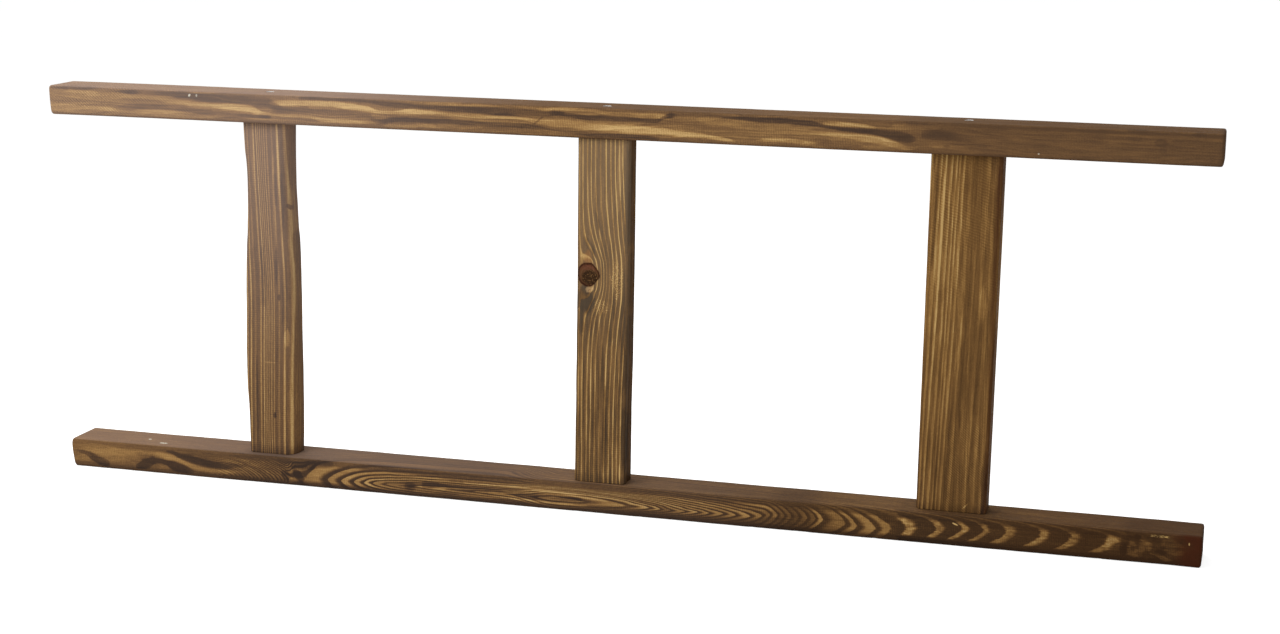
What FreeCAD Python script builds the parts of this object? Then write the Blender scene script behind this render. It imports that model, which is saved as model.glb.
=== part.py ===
import FreeCAD, Part
import math
import os

# A blanket ladder of five pine boards: two long rails with three flat rungs butted between
# them. It is modelled lying on the long edge of one rail. X runs along the rails, Y runs from
# the front to the back through the depth of the boards, and Z runs up along the rungs.
# The origin is on the surface it lies on, under the middle of the ladder. Sizes are in mm.

# Rails
RAIL_LENGTH = 1454.0
RAIL_THICKNESS = 37.0            # the face seen from the front, along Z
RAIL_DEPTH = 63.0                # along Y
RAIL_EDGE_RADIUS = 4.0           # eased long edges
RUBBED_EDGE_RADIUS = 8.0         # the lower rail's upper front edge is rubbed rounder
RAIL_END_RADIUS = 2.5            # eased edges round each cut end
LOWER_RAIL_SHORT = 10.0          # the lower rail is cut this much short at its left end

# Rungs
RUNG_LENGTH = 426.0              # from rail to rail
RUNG_THICKNESS = 38.0            # along Y
RUNG_EDGE_RADIUS = 10.0          # well rounded long edges
LEFT_RUNG_WIDTH = 64.0
MIDDLE_RUNG_WIDTH = 66.0
RIGHT_RUNG_WIDTH = 84.0
LEFT_RUNG_INSET = 292.0          # from the rails' left end to the rung's centre line
MIDDLE_RUNG_OFFSET = 6.0         # to the right of the middle of the rails
RIGHT_RUNG_INSET = 288.5         # from the rails' right end to the rung's centre line
LEFT_RUNG_SETBACK = 10.5         # behind the front faces of the rails
MIDDLE_RUNG_SETBACK = 8.0
RIGHT_RUNG_SETBACK = 16.5

# Screws: one through each rail into the middle of each rung end
SCREW_LENGTH = 80.0
SCREW_SHANK_DIAMETER = 3.8       # plain stretch under the head
SCREW_PLAIN_LENGTH = 30.0        # from the top of the head to the start of the thread
SCREW_THREAD_DIAMETER = 5.0      # over the crests of the thread
SCREW_TIP_LENGTH = 6.0
SCREW_HEAD_DIAMETER = 10.0
SCREW_HEAD_RIM = 0.5             # the thin straight edge of the head
SCREW_HEAD_SLOPE = 45.0          # degrees, half of the countersink's angle
SCREW_HEAD_DEPTH = 0.6           # the head is driven this far below the face of the rail
RECESS_SPAN = 5.4                # the cross recess in the head
RECESS_WIDTH = 1.1
RECESS_DEPTH = 2.4

# Dowels: one on each side of each screw
DOWEL_DIAMETER = 10.0
DOWEL_LENGTH = 50.0              # half in the rail and half in the rung
DOWEL_CHAMFER = 1.0
DOWEL_EDGE_INSET = 16.0          # from the rung's long edge to the dowel's centre

# Fits
SCREW_CLEARANCE = 0.1            # round the screw, on the radius
DOWEL_CLEARANCE = 0.1            # round the dowel, on the radius
DOWEL_END_ROOM = 1.0             # left at each end of a dowel for glue

# Places that follow from the sizes
X_LEFT = -RAIL_LENGTH / 2
X_RIGHT = RAIL_LENGTH / 2
Y_FRONT = -RAIL_DEPTH / 2
Z_RUNG_FOOT = RAIL_THICKNESS
Z_RUNG_HEAD = Z_RUNG_FOOT + RUNG_LENGTH
LADDER_WIDTH = Z_RUNG_HEAD + RAIL_THICKNESS
SCREW_HOLE_RADIUS = SCREW_THREAD_DIAMETER / 2 + SCREW_CLEARANCE
DOWEL_HOLE_RADIUS = DOWEL_DIAMETER / 2 + DOWEL_CLEARANCE
DOWEL_HOLE_DEPTH = DOWEL_LENGTH / 2 + DOWEL_END_ROOM

UP = FreeCAD.Vector(0, 0, 1)
ORIGIN = FreeCAD.Vector(0, 0, 0)

# Each rung: node name, centre along the rails, width, setback behind the rails' front faces
RUNGS = [
    ("left_rung", X_LEFT + LEFT_RUNG_INSET, LEFT_RUNG_WIDTH, LEFT_RUNG_SETBACK),
    ("middle_rung", MIDDLE_RUNG_OFFSET, MIDDLE_RUNG_WIDTH, MIDDLE_RUNG_SETBACK),
    ("right_rung", X_RIGHT - RIGHT_RUNG_INSET, RIGHT_RUNG_WIDTH, RIGHT_RUNG_SETBACK),
]


def rounded_section(u_low, u_high, v_low, v_high, radii, place):
    """A rectangular face with four rounded corners, listed anticlockwise from (u_low, v_low).

    place turns the two section coordinates into a point in space.
    """
    corners = [(u_low, v_low), (u_high, v_low), (u_high, v_high), (u_low, v_high)]
    inward = [(1, 1), (-1, 1), (-1, -1), (1, -1)]
    arcs = []
    for (u, v), (du, dv), r in zip(corners, inward, radii):
        centre = (u + du * r, v + dv * r)
        short = r * math.sqrt(0.5)
        on_v_side = (u, centre[1])
        on_u_side = (centre[0], v)
        middle = (centre[0] - du * short, centre[1] - dv * short)
        ends = [on_v_side, on_u_side] if du == dv else [on_u_side, on_v_side]
        arcs.append([place(*ends[0]), place(*middle), place(*ends[1])])
    edges = []
    for arc, following in zip(arcs, arcs[1:] + arcs[:1]):
        edges.append(Part.Arc(*arc).toShape())
        edges.append(Part.LineSegment(arc[2], following[0]).toShape())
    return Part.Face(Part.Wire(edges))


def rail_blank(x_left, x_right, z_low, radii):
    """A rail with eased long edges and eased ends, before its holes are made."""
    def place(y, z):
        return FreeCAD.Vector(x_left, y, z)

    section = rounded_section(
        Y_FRONT, Y_FRONT + RAIL_DEPTH, z_low, z_low + RAIL_THICKNESS, radii, place)
    board = section.extrude(FreeCAD.Vector(x_right - x_left, 0, 0))
    end_edges = []
    for edge in board.Edges:
        box = edge.BoundBox
        if box.XLength < 0.001:
            end_edges.append(edge)
    return board.makeFillet(RAIL_END_RADIUS, end_edges)


def rung_blank(x_centre, width, setback):
    """A rung with well rounded long edges and square ends, before its holes are made."""
    def place(x, y):
        return FreeCAD.Vector(x, y, Z_RUNG_FOOT)

    y_front = Y_FRONT + setback
    section = rounded_section(
        x_centre - width / 2, x_centre + width / 2, y_front, y_front + RUNG_THICKNESS,
        [RUNG_EDGE_RADIUS] * 4, place)
    return section.extrude(UP * RUNG_LENGTH)


def screw_profile(clearance, top_room):
    """Half of a screw's outline, pointing up from the head at z = 0, as a face in the XZ plane.

    With a clearance it is the outline of the screw's hole: wider all round, longer at the tip,
    and open past the head by top_room.
    """
    head = SCREW_HEAD_DIAMETER / 2 + clearance
    shank = SCREW_SHANK_DIAMETER / 2 + clearance
    thread = SCREW_THREAD_DIAMETER / 2 + clearance
    cone = (head - shank) / math.tan(math.radians(SCREW_HEAD_SLOPE))
    rim_end = SCREW_HEAD_RIM + clearance
    tip_end = SCREW_LENGTH + clearance
    outline = [
        (0, -top_room),
        (head, -top_room),
        (head, rim_end),
        (shank, rim_end + cone),
        (shank, SCREW_PLAIN_LENGTH),
        (thread, SCREW_PLAIN_LENGTH + thread - shank),
        (thread, SCREW_LENGTH - SCREW_TIP_LENGTH),
        (clearance, tip_end),
        (0, tip_end),
    ]
    if clearance == 0:
        outline.remove((clearance, tip_end))
    points = [FreeCAD.Vector(r, 0, z) for r, z in outline]
    return Part.Face(Part.makePolygon(points + points[:1]))


def screw():
    """A countersunk wood screw pointing up, with the top of its head at z = 0."""
    body = screw_profile(0, 0).revolve(ORIGIN, UP, 360)
    half_span = RECESS_SPAN / 2
    half_width = RECESS_WIDTH / 2
    for turn in (0, 90):
        slot = Part.makeBox(
            RECESS_SPAN, RECESS_WIDTH, RECESS_DEPTH, FreeCAD.Vector(-half_span, -half_width, 0))
        slot.rotate(ORIGIN, UP, turn)
        body = body.cut(slot)
    return body


def screw_hole():
    """The countersunk hole that a screw runs in, pointing up like the screw.

    It is as wide as the thread from the end of the countersink on, so that the screw can be
    driven through the rail.
    """
    hole = screw_profile(SCREW_CLEARANCE, SCREW_HEAD_DEPTH + 1.0).revolve(ORIGIN, UP, 360)
    bore = Part.makeCylinder(SCREW_HOLE_RADIUS, SCREW_LENGTH - SCREW_TIP_LENGTH)
    return hole.fuse(bore)


def dowel():
    """A dowel with chamfered ends, standing on z = 0."""
    pin = Part.makeCylinder(DOWEL_DIAMETER / 2, DOWEL_LENGTH)
    rims = []
    for edge in pin.Edges:
        if edge.BoundBox.ZLength < 0.001:
            rims.append(edge)
    return pin.makeChamfer(DOWEL_CHAMFER, rims)


def dowel_hole():
    """The blind holes in a rail and a rung that one dowel fills, standing like the dowel."""
    start = FreeCAD.Vector(0, 0, -DOWEL_END_ROOM)
    return Part.makeCylinder(DOWEL_HOLE_RADIUS, 2 * DOWEL_HOLE_DEPTH, start)


def placed(shape, x, y, z, upside_down=False):
    """A copy of shape moved to a place, turned over first if it points down."""
    copy = shape.copy()
    if upside_down:
        copy.rotate(ORIGIN, FreeCAD.Vector(1, 0, 0), 180)
    copy.translate(FreeCAD.Vector(x, y, z))
    return copy


def joint_places():
    """The centre of each of the six rung ends: x, y, the rung's width, and whether it is on top."""
    places = []
    for _, x_centre, width, setback in RUNGS:
        y_centre = Y_FRONT + setback + RUNG_THICKNESS / 2
        for on_top in (False, True):
            places.append((x_centre, y_centre, width, on_top))
    return places


def at_screws(shape):
    """Copies of a screw, or of its hole, at every joint."""
    copies = []
    for x, y, _, on_top in joint_places():
        z = LADDER_WIDTH - SCREW_HEAD_DEPTH if on_top else SCREW_HEAD_DEPTH
        copies.append(placed(shape, x, y, z, upside_down=on_top))
    return copies


def at_dowels(shape):
    """Copies of a dowel, or of its hole, on both sides of every screw."""
    copies = []
    for x, y, width, on_top in joint_places():
        joint_z = Z_RUNG_HEAD if on_top else Z_RUNG_FOOT
        offset = width / 2 - DOWEL_EDGE_INSET
        for side in (-1, 1):
            copies.append(placed(shape, x + side * offset, y, joint_z - DOWEL_LENGTH / 2))
    return copies


def drilled(board, tools):
    """The board with the holes of every tool that reaches it."""
    for tool in tools:
        if board.BoundBox.intersect(tool.BoundBox):
            board = board.cut(tool)
    return board


def write(name, shape):
    """Write one node's STEP file and print its size."""
    shape.exportStep(os.path.join("parts", name + ".step"))
    box = shape.BoundBox
    print(name, len(shape.Solids), "solid(s)", "valid" if shape.isValid() else "NOT VALID",
          "x %.1f..%.1f  y %.1f..%.1f  z %.1f..%.1f"
          % (box.XMin, box.XMax, box.YMin, box.YMax, box.ZMin, box.ZMax))


def main():
    os.makedirs("parts", exist_ok=True)
    holes = at_screws(screw_hole()) + at_dowels(dowel_hole())

    eased = RAIL_EDGE_RADIUS
    lower = rail_blank(
        X_LEFT + LOWER_RAIL_SHORT, X_RIGHT, 0, [eased, eased, eased, RUBBED_EDGE_RADIUS])
    upper = rail_blank(X_LEFT, X_RIGHT, Z_RUNG_HEAD, [eased] * 4)
    write("bottom_rail", drilled(lower, holes))
    write("top_rail", drilled(upper, holes))

    for name, x_centre, width, setback in RUNGS:
        write(name, drilled(rung_blank(x_centre, width, setback), holes))

    write("rung_screws", Part.makeCompound(at_screws(screw())))
    write("rung_dowels", Part.makeCompound(at_dowels(dowel())))


main()
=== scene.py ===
# %% [markdown]
# # A blanket ladder of stained pine
# The ladder lies on the long edge of one rail. It is five boards: two long rails and three flat
# rungs between them. The imported model gives each board its place and size, and this script gives
# the boards what a plain solid lacks: worn edges, growth rings, a knot, stain and scuffs.
# First the frame is loaded, and its box is kept.

# %% Load the frame
import math

import bpy
from mathutils import Matrix, Vector


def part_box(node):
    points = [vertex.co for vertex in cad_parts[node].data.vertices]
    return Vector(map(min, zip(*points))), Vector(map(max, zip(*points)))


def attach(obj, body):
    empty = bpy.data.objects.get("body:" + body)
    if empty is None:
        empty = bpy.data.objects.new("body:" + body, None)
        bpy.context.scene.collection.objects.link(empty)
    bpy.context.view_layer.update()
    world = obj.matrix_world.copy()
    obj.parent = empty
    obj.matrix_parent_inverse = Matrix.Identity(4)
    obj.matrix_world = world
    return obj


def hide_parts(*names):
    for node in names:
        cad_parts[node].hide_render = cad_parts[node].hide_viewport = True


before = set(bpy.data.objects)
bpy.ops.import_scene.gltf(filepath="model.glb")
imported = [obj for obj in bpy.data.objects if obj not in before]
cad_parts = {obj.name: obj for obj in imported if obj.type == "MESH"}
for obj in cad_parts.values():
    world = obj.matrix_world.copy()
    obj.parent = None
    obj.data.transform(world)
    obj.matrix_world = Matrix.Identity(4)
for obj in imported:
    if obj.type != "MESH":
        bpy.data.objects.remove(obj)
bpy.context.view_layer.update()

MM = 0.001


def box_mm(node):
    """The lowest and highest corners of a board, in millimetres."""
    low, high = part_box(node)
    return low / MM, high / MM


# %% [markdown]
# ## The camera
# The photograph was taken from beyond the ladder's right half, a little above it, with a long
# lens. The place was worked out from the ladder's edges: the rails' lines, which close up towards
# the left, give the direction, and the height of the rails' top faces gives the tilt.

# %% Camera
PHOTO_WIDTH = 1280
FOCAL_PIXELS = 2263.0
SENSOR_WIDTH = 36.0
CAMERA_PLACE = Vector((0.782, -2.599, 0.7936))
CAMERA_TURN_LEFT = math.radians(15.76)
CAMERA_TILT_DOWN = math.radians(11.507)
CAMERA_ROLL = math.radians(0.62)


def camera_axes(turn, tilt, roll):
    """The camera's right, up and backward directions as the columns of a matrix."""
    forward = Vector((-math.sin(turn) * math.cos(tilt), math.cos(turn) * math.cos(tilt), -math.sin(tilt)))
    level_right = Vector((math.cos(turn), math.sin(turn), 0))
    level_up = level_right.cross(forward)
    right = level_right * math.cos(roll) + level_up * math.sin(roll)
    up = level_up * math.cos(roll) - level_right * math.sin(roll)
    return Matrix((right, up, -forward)).transposed()


def add_camera():
    data = bpy.data.cameras.new("photo_camera")
    data.sensor_width = SENSOR_WIDTH
    data.lens = FOCAL_PIXELS / PHOTO_WIDTH * SENSOR_WIDTH
    camera = bpy.data.objects.new("photo_camera", data)
    axes = camera_axes(CAMERA_TURN_LEFT, CAMERA_TILT_DOWN, CAMERA_ROLL)
    camera.matrix_world = Matrix.Translation(CAMERA_PLACE) @ axes.to_4x4()
    bpy.context.scene.collection.objects.link(camera)
    bpy.context.scene.camera = camera
    print("lens", round(data.lens, 1), "mm")


add_camera()

# %% [markdown]
# ## Sums that make nodes
# The finishes and the boards' shapes are both node trees full of arithmetic. Written node by
# node, a sum of three terms is a dozen lines. So one small class wraps an output socket and
# gives it the usual operators: each operator adds a Math node and returns its output, wrapped
# again. A second class wraps the tree: one method makes any other node, and a few short ones
# make the nodes that are wanted often.

# %% Node arithmetic


class Value:
    """An output socket that can be used in sums."""

    def __init__(self, graph, socket):
        self.graph = graph
        self.socket = socket

    def maths(self, operation, *others):
        inputs = dict(enumerate((self,) + others))
        return self.graph.node("ShaderNodeMath", {"operation": operation}, inputs)

    def __add__(self, other):
        return self.maths("ADD", other)

    def __sub__(self, other):
        return self.maths("SUBTRACT", other)

    def __mul__(self, other):
        return self.maths("MULTIPLY", other)

    def __truediv__(self, other):
        return self.maths("DIVIDE", other)

    def __pow__(self, other):
        return self.maths("POWER", other)

    def __rsub__(self, other):
        return self.graph.node("ShaderNodeMath", {"operation": "SUBTRACT"}, {0: other, 1: self})

    def __abs__(self):
        return self.maths("ABSOLUTE")

    def __neg__(self):
        return self * -1

    __radd__ = __add__
    __rmul__ = __mul__

    def least(self, other):
        return self.maths("MINIMUM", other)

    def most(self, other):
        return self.maths("MAXIMUM", other)

    def rise(self, low, high):
        """0 below low, 1 above high, and a smooth step between. With low above high it falls."""
        settings = {"interpolation_type": "SMOOTHSTEP"}
        return self.graph.node("ShaderNodeMapRange", settings, {0: self, 1: low, 2: high, 3: 0.0, 4: 1.0})

    def hump(self, middle, reach):
        """1 at middle, falling smoothly to 0 at a distance of reach on either side."""
        return abs(self - middle).rise(reach, 0)

    def mix(self, other, share):
        """This value where share is 0, and other where it is 1."""
        return self + (other - self) * share


class Graph:
    """A node tree that is written as sums."""

    def __init__(self, tree):
        self.tree = tree

    def node(self, kind, settings=None, inputs=None, output=0):
        """Adds a node, with its settings set first, and returns one of its outputs."""
        made = self.tree.nodes.new(kind)
        for name, value in (settings or {}).items():
            if name == "stops":
                self.set_stops(made.color_ramp, value)
            elif name == "points":
                self.set_points(made.mapping, value)
            else:
                setattr(made, name, value)
        for key, value in (inputs or {}).items():
            if isinstance(value, Value):
                self.tree.links.new(value.socket, made.inputs[key])
            else:
                made.inputs[key].default_value = value
        return Value(self, made.outputs[output]) if len(made.outputs) else None

    def set_stops(self, ramp, stops):
        while len(ramp.elements) < len(stops):
            ramp.elements.new(1.0)
        for element, (place, colour) in zip(ramp.elements, stops):
            element.position = place
            element.color = colour

    def set_points(self, mapping, points):
        curve = mapping.curves[0]
        for _ in points[2:]:
            curve.points.new(0.5, 0.5)
        for point, place in zip(curve.points, points):
            point.location = place
        mapping.update()

    def vector(self, x, y, z):
        return self.node("ShaderNodeCombineXYZ", None, {0: x, 1: y, 2: z})

    def parts(self, vector):
        split = self.node("ShaderNodeSeparateXYZ", None, {0: vector})
        outputs = split.socket.node.outputs
        return [Value(self, outputs[i]) for i in range(3)]

    def position(self):
        """The place of each point of the surface, in the object's own coordinates."""
        return self.node("ShaderNodeTexCoord", None, None, "Object")

    def noise(self, vector, detail=2.0, roughness=0.5, scale=1.0):
        """Smooth noise that wanders about 0.5."""
        inputs = {"Vector": vector, "Scale": scale, "Detail": detail, "Roughness": roughness}
        return self.node("ShaderNodeTexNoise", None, inputs)

    def random(self, value):
        """A different number from 0 to 1 for each value."""
        return self.node("ShaderNodeTexWhiteNoise", {"noise_dimensions": "1D"}, {"W": value})

    def curve(self, value, low, high, points):
        """A smooth curve through given points. value and the points' first numbers run from
        low to high, and the second numbers are what comes out."""
        levels = [level for _, level in points]
        bottom, top = min(levels), max(levels)
        shares = [((x - low) / (high - low), (y - bottom) / (top - bottom)) for x, y in points]
        share = self.node("ShaderNodeFloatCurve", {"points": shares}, {"Value": (value - low) / (high - low)})
        return share * (top - bottom) + bottom

    def colours(self, first, second, share):
        """A mix of two colours."""
        return self.node("ShaderNodeMix", {"data_type": "RGBA"}, {0: share, 6: first, 7: second}, 2)


def colour(red, green, blue):
    """A colour given on the 0 to 255 scale, as the linear value that nodes take."""
    def linear(level):
        share = level / 255
        return share / 12.92 if share <= 0.04045 else ((share + 0.055) / 1.055) ** 2.4

    return (linear(red), linear(green), linear(blue), 1.0)


def blank_material(name):
    """A new material with an empty node tree, and the graph that fills it."""
    material = bpy.data.materials.new(name)
    material.use_nodes = True
    material.node_tree.nodes.clear()
    return material, Graph(material.node_tree)


# %% [markdown]
# ## A worn board
# All five boards have one shape with different sizes: a long block whose edges were eased by
# sandpaper and by use. A bevelled cube would be too regular, and modelling each board by hand
# would be slow, so Geometry Nodes make it from a rule. The tree starts with a finely divided
# block and moves its points: it draws them towards rounded edges, lets the radius wander along
# each edge, eases the cut ends, and adds the low waves that a planer leaves. Because each size
# is an input of the tree, one tree shapes every board.
#
# The block lies along X, with its depth along Y and its face height along Z.

# %% Board tree
END_ROWS_ROOM = 4 * MM       # how strongly rows of points crowd towards the cut ends
SOFT_INPUTS = [
    ("Length", 1.0), ("Depth", 0.063), ("Face", 0.037), ("Edge Radius", 0.004),
    ("Front Top Radius", 0.004), ("Front Low Radius", 0.004), ("End Radius", 0.002),
    ("Edge Wander", 0.3), ("Bow", 0.0004), ("Waves", 0.0003), ("Nicks", 0.0008), ("Left Cut", 0.0),
    ("Seed", 0.0),
]


def rounded_section(first, second, half_first, half_second, radius):
    """Draws points of a square-edged section in to rounded corners of the given radius."""
    inner_first = half_first - radius
    inner_second = half_second - radius
    core_first = first.least(inner_first).most(-inner_first)
    core_second = second.least(inner_second).most(-inner_second)
    out_first = first - core_first
    out_second = second - core_second
    square = abs(out_first).most(abs(out_second))
    circle = (out_first * out_first + out_second * out_second) ** 0.5
    shrink = square / circle.most(1e-9)
    corner = abs(out_first).least(abs(out_second)) / radius
    return core_first + out_first * shrink, core_second + out_second * shrink, corner


def board_tree(outline=None, chips=()):
    """A tree that makes one worn board. outline holds the points of two curves along the board,
    for how far its lower and upper faces stand out. chips are broken spots on an edge, each with
    its place along the board, the sides that it is on, its length and its depth."""
    tree = bpy.data.node_groups.new("worn_board", "GeometryNodeTree")
    for name, value in SOFT_INPUTS:
        socket = tree.interface.new_socket(name=name, in_out="INPUT", socket_type="NodeSocketFloat")
        socket.default_value = value
    for name in ("Rows Along", "Rows Deep", "Rows High"):
        tree.interface.new_socket(name=name, in_out="INPUT", socket_type="NodeSocketInt")
    tree.interface.new_socket(name="Finish", in_out="INPUT", socket_type="NodeSocketMaterial")
    tree.interface.new_socket(name="Board", in_out="OUTPUT", socket_type="NodeSocketGeometry")
    graph = Graph(tree)
    group = tree.nodes.new("NodeGroupInput")
    size = {socket.name: Value(graph, socket) for socket in group.outputs if socket.name}

    block_size = graph.vector(size["Length"], size["Depth"], size["Face"])
    block = graph.node("GeometryNodeMeshCube", None, {
        "Size": block_size, "Vertices X": size["Rows Along"],
        "Vertices Y": size["Rows Deep"], "Vertices Z": size["Rows High"]})

    along, deep, high = graph.parts(graph.node("GeometryNodeInputPosition"))
    half_long = size["Length"] / 2
    half_deep = size["Depth"] / 2
    half_high = size["Face"] / 2

    # Rows crowd towards the ends, where the rounding needs them.
    even = half_long - abs(along)
    from_end = even * even / (even + END_ROWS_ROOM) * ((half_long + END_ROWS_ROOM) / half_long)
    along = along.maths("SIGN") * (half_long - from_end)

    # Each of the four long edges has its own slowly changing radius.
    seed = size["Seed"]
    edge_name = deep.maths("SIGN") * 3.1 + high.maths("SIGN") * 7.7 + seed
    rub = graph.noise(graph.vector(along / 0.07, edge_name, seed), detail=2.0) - 0.5
    in_front = deep.rise(0.001, -0.001)
    radius = size["Edge Radius"].mix(size["Front Top Radius"], in_front * high.rise(-0.001, 0.001))
    radius = radius.mix(size["Front Low Radius"], in_front * high.rise(0.001, -0.001))
    radius = radius * (1 + rub * 2 * size["Edge Wander"])
    deep, high, corner = rounded_section(deep, high, half_deep, half_high, radius)

    # The ends are drawn in by the same amount all round.
    turn = (1 - from_end / size["End Radius"]).most(0)
    inset = size["End Radius"] * (1 - (1 - turn * turn).most(0) ** 0.5)
    deep = deep * (1 - inset / half_deep)
    high = high * (1 - inset / half_high)

    # The foot of the left end is cut back.
    lowness = (1 - high / half_high) / 2
    at_left_end = along.rise(0, -0.001) * from_end.rise(0.02, 0)
    along = along + at_left_end * lowness * lowness * size["Left Cut"]

    # Faces that were never straight follow their outline.
    if outline:
        reach = outline["reach"]
        lower = graph.curve(along / MM, -reach, reach, outline["lower"]) * MM
        upper = graph.curve(along / MM, -reach, reach, outline["upper"]) * MM
        high = high + lower.mix(upper, (high / half_high + 1) / 2)

    # A slow bow, then low waves along the surface and small nicks along the edges.
    sway = graph.noise(graph.vector(along / 0.45, seed, 0.3), detail=1.0) - 0.5
    lift = graph.noise(graph.vector(along / 0.45, 9.1, seed), detail=1.0) - 0.5
    ends_held = from_end.rise(0, 0.05)
    deep = deep + sway * 2 * size["Bow"] * ends_held
    high = high + lift * 2 * size["Bow"] * ends_held
    place = graph.vector(along, deep, high)
    shaped = graph.node("GeometryNodeSetPosition", None, {"Geometry": block, "Position": place})

    spot = graph.vector(along / 0.03 + seed, deep / 0.009, high / 0.009)
    wave = (graph.noise(spot, detail=2.0) - 0.5) * 2 * size["Waves"]
    nick_spot = graph.vector(along / 0.016 - seed, deep / 0.012, high / 0.012)
    nick = graph.noise(nick_spot, detail=3.0, roughness=0.6).rise(0.6, 0.74)
    edge_wear = nick * corner.rise(0.05, 0.6) * size["Nicks"]
    depth_cut = edge_wear
    for chip in chips:
        near = (along / MM).hump(chip["along"], chip["length"] / 2)
        side = (deep * chip["deep_side"]).rise(0, 0.004) * (high * chip["high_side"]).rise(0, 0.004)
        ragged = graph.noise(graph.vector(along / 0.004, deep / 0.003, high / 0.003), detail=2.0)
        cut = near.rise(0.15, 0.5) * side * corner.rise(0.02, 0.3) * (0.5 + ragged)
        depth_cut = depth_cut + cut * (chip["depth"] * MM)
    normal = graph.node("GeometryNodeInputNormal")
    push = graph.node("ShaderNodeVectorMath", {"operation": "SCALE"}, {0: normal, 3: wave - depth_cut})
    worn = graph.node("GeometryNodeSetPosition", None, {"Geometry": shaped, "Offset": push})

    smooth = graph.node("GeometryNodeSetShadeSmooth", None, {"Geometry": worn})
    real = graph.node("GeometryNodeRealizeInstances", None, {"Geometry": smooth})
    done = graph.node("GeometryNodeSetMaterial", None, {"Geometry": real, "Material": size["Finish"]})
    out = tree.nodes.new("NodeGroupOutput")
    tree.links.new(done.socket, out.inputs["Board"])
    return tree


def set_inputs(modifier, tree, values):
    """Sets a modifier's inputs, which it knows by their identifiers, from a table of names."""
    for socket in tree.interface.items_tree:
        if socket.in_out == "INPUT" and socket.name in values:
            modifier[socket.identifier] = values[socket.name]


# %% [markdown]
# ## From tree to board
# A modifier's result only exists while the modifier does. The finished board is a plain mesh,
# so the result is copied to a new object, and then turned and moved to the board's place. A
# rung's block is turned so that its length points up. In the end every object sits at the
# origin with its place in its mesh, so the finishes can all use one set of coordinates.

# %% Board maker
RAIL_STEP = 2.1              # distance between rows of points, in millimetres
RUNG_STEP = 1.35


def seat_plug(name, x, y, z_face, outward, head_radius, depth):
    """A cone-ended plug that cuts the seat of a screw head into a board's face."""
    mesh = bpy.data.meshes.new(name)
    steps = 40
    rings = [(head_radius, 2.0), (head_radius, -depth), (head_radius * 0.35, -depth - 3.0)]
    points = []
    for radius, height in rings:
        for i in range(steps):
            angle = 2 * math.pi * i / steps * outward
            points.append(((x + radius * math.cos(angle)) * MM, (y + radius * math.sin(angle)) * MM,
                           (z_face + outward * height) * MM))
    faces = [tuple(range(steps)), tuple(reversed(range(2 * steps, 3 * steps)))]
    for ring in range(2):
        for i in range(steps):
            a, b = ring * steps + i, ring * steps + (i + 1) % steps
            faces.append((a, a + steps, b + steps, b))
    mesh.from_pydata(points, [], faces)
    return bpy.data.objects.new(name, mesh)


def make_board(node, finish, upright, step, values, outline=None, chips=(), seats=(), longer=(0, 0)):
    """Makes the worn board that stands for a node, cuts its screw seats and gives it its place.
    longer is how much its two ends stand out beyond the plain board."""
    low, high = box_mm(node)
    low.x -= longer[0]
    high.x += longer[1]
    extent = high - low
    middle = (low + high) / 2
    length, face = (extent.z, extent.x) if upright else (extent.x, extent.z)
    tree = board_tree(outline, chips)
    carrier = bpy.data.objects.new(node + "_carrier", bpy.data.meshes.new(node + "_carrier"))
    bpy.context.scene.collection.objects.link(carrier)
    modifier = carrier.modifiers.new("board", "NODES")
    modifier.node_group = tree
    sizes = {"Length": length * MM, "Depth": extent.y * MM, "Face": face * MM, "Finish": finish,
             "Rows Along": round(length / step) + 1, "Rows Deep": round(extent.y / step) + 1,
             "Rows High": round(face / step) + 1}
    set_inputs(modifier, tree, {**sizes, **values})

    turn = Matrix.Rotation(-math.pi / 2, 4, "Y") if upright else Matrix.Identity(4)
    mesh = evaluated_mesh(carrier)
    mesh.transform(Matrix.Translation(middle * MM) @ turn)
    board = bpy.data.objects.new(node + "_worn", mesh)
    bpy.context.scene.collection.objects.link(board)
    bpy.data.objects.remove(carrier)
    for seat in seats:
        board = cut_seat(board, seat)
    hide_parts(node)
    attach(board, "root")
    print(board.name, len(board.data.polygons), "faces")
    return board


def evaluated_mesh(source):
    """The mesh that an object's modifiers make, as a plain mesh."""
    graph = bpy.context.evaluated_depsgraph_get()
    graph.update()
    return bpy.data.meshes.new_from_object(source.evaluated_get(graph))


def cut_seat(board, cutter):
    """The board with one screw seat cut into it."""
    bpy.context.scene.collection.objects.link(cutter)
    modifier = board.modifiers.new("seat", "BOOLEAN")
    modifier.operation = "DIFFERENCE"
    modifier.solver = "EXACT"
    modifier.object = cutter
    mesh = evaluated_mesh(board)
    board.modifiers.remove(modifier)
    board.data = mesh
    bpy.data.objects.remove(cutter)
    return board
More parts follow.
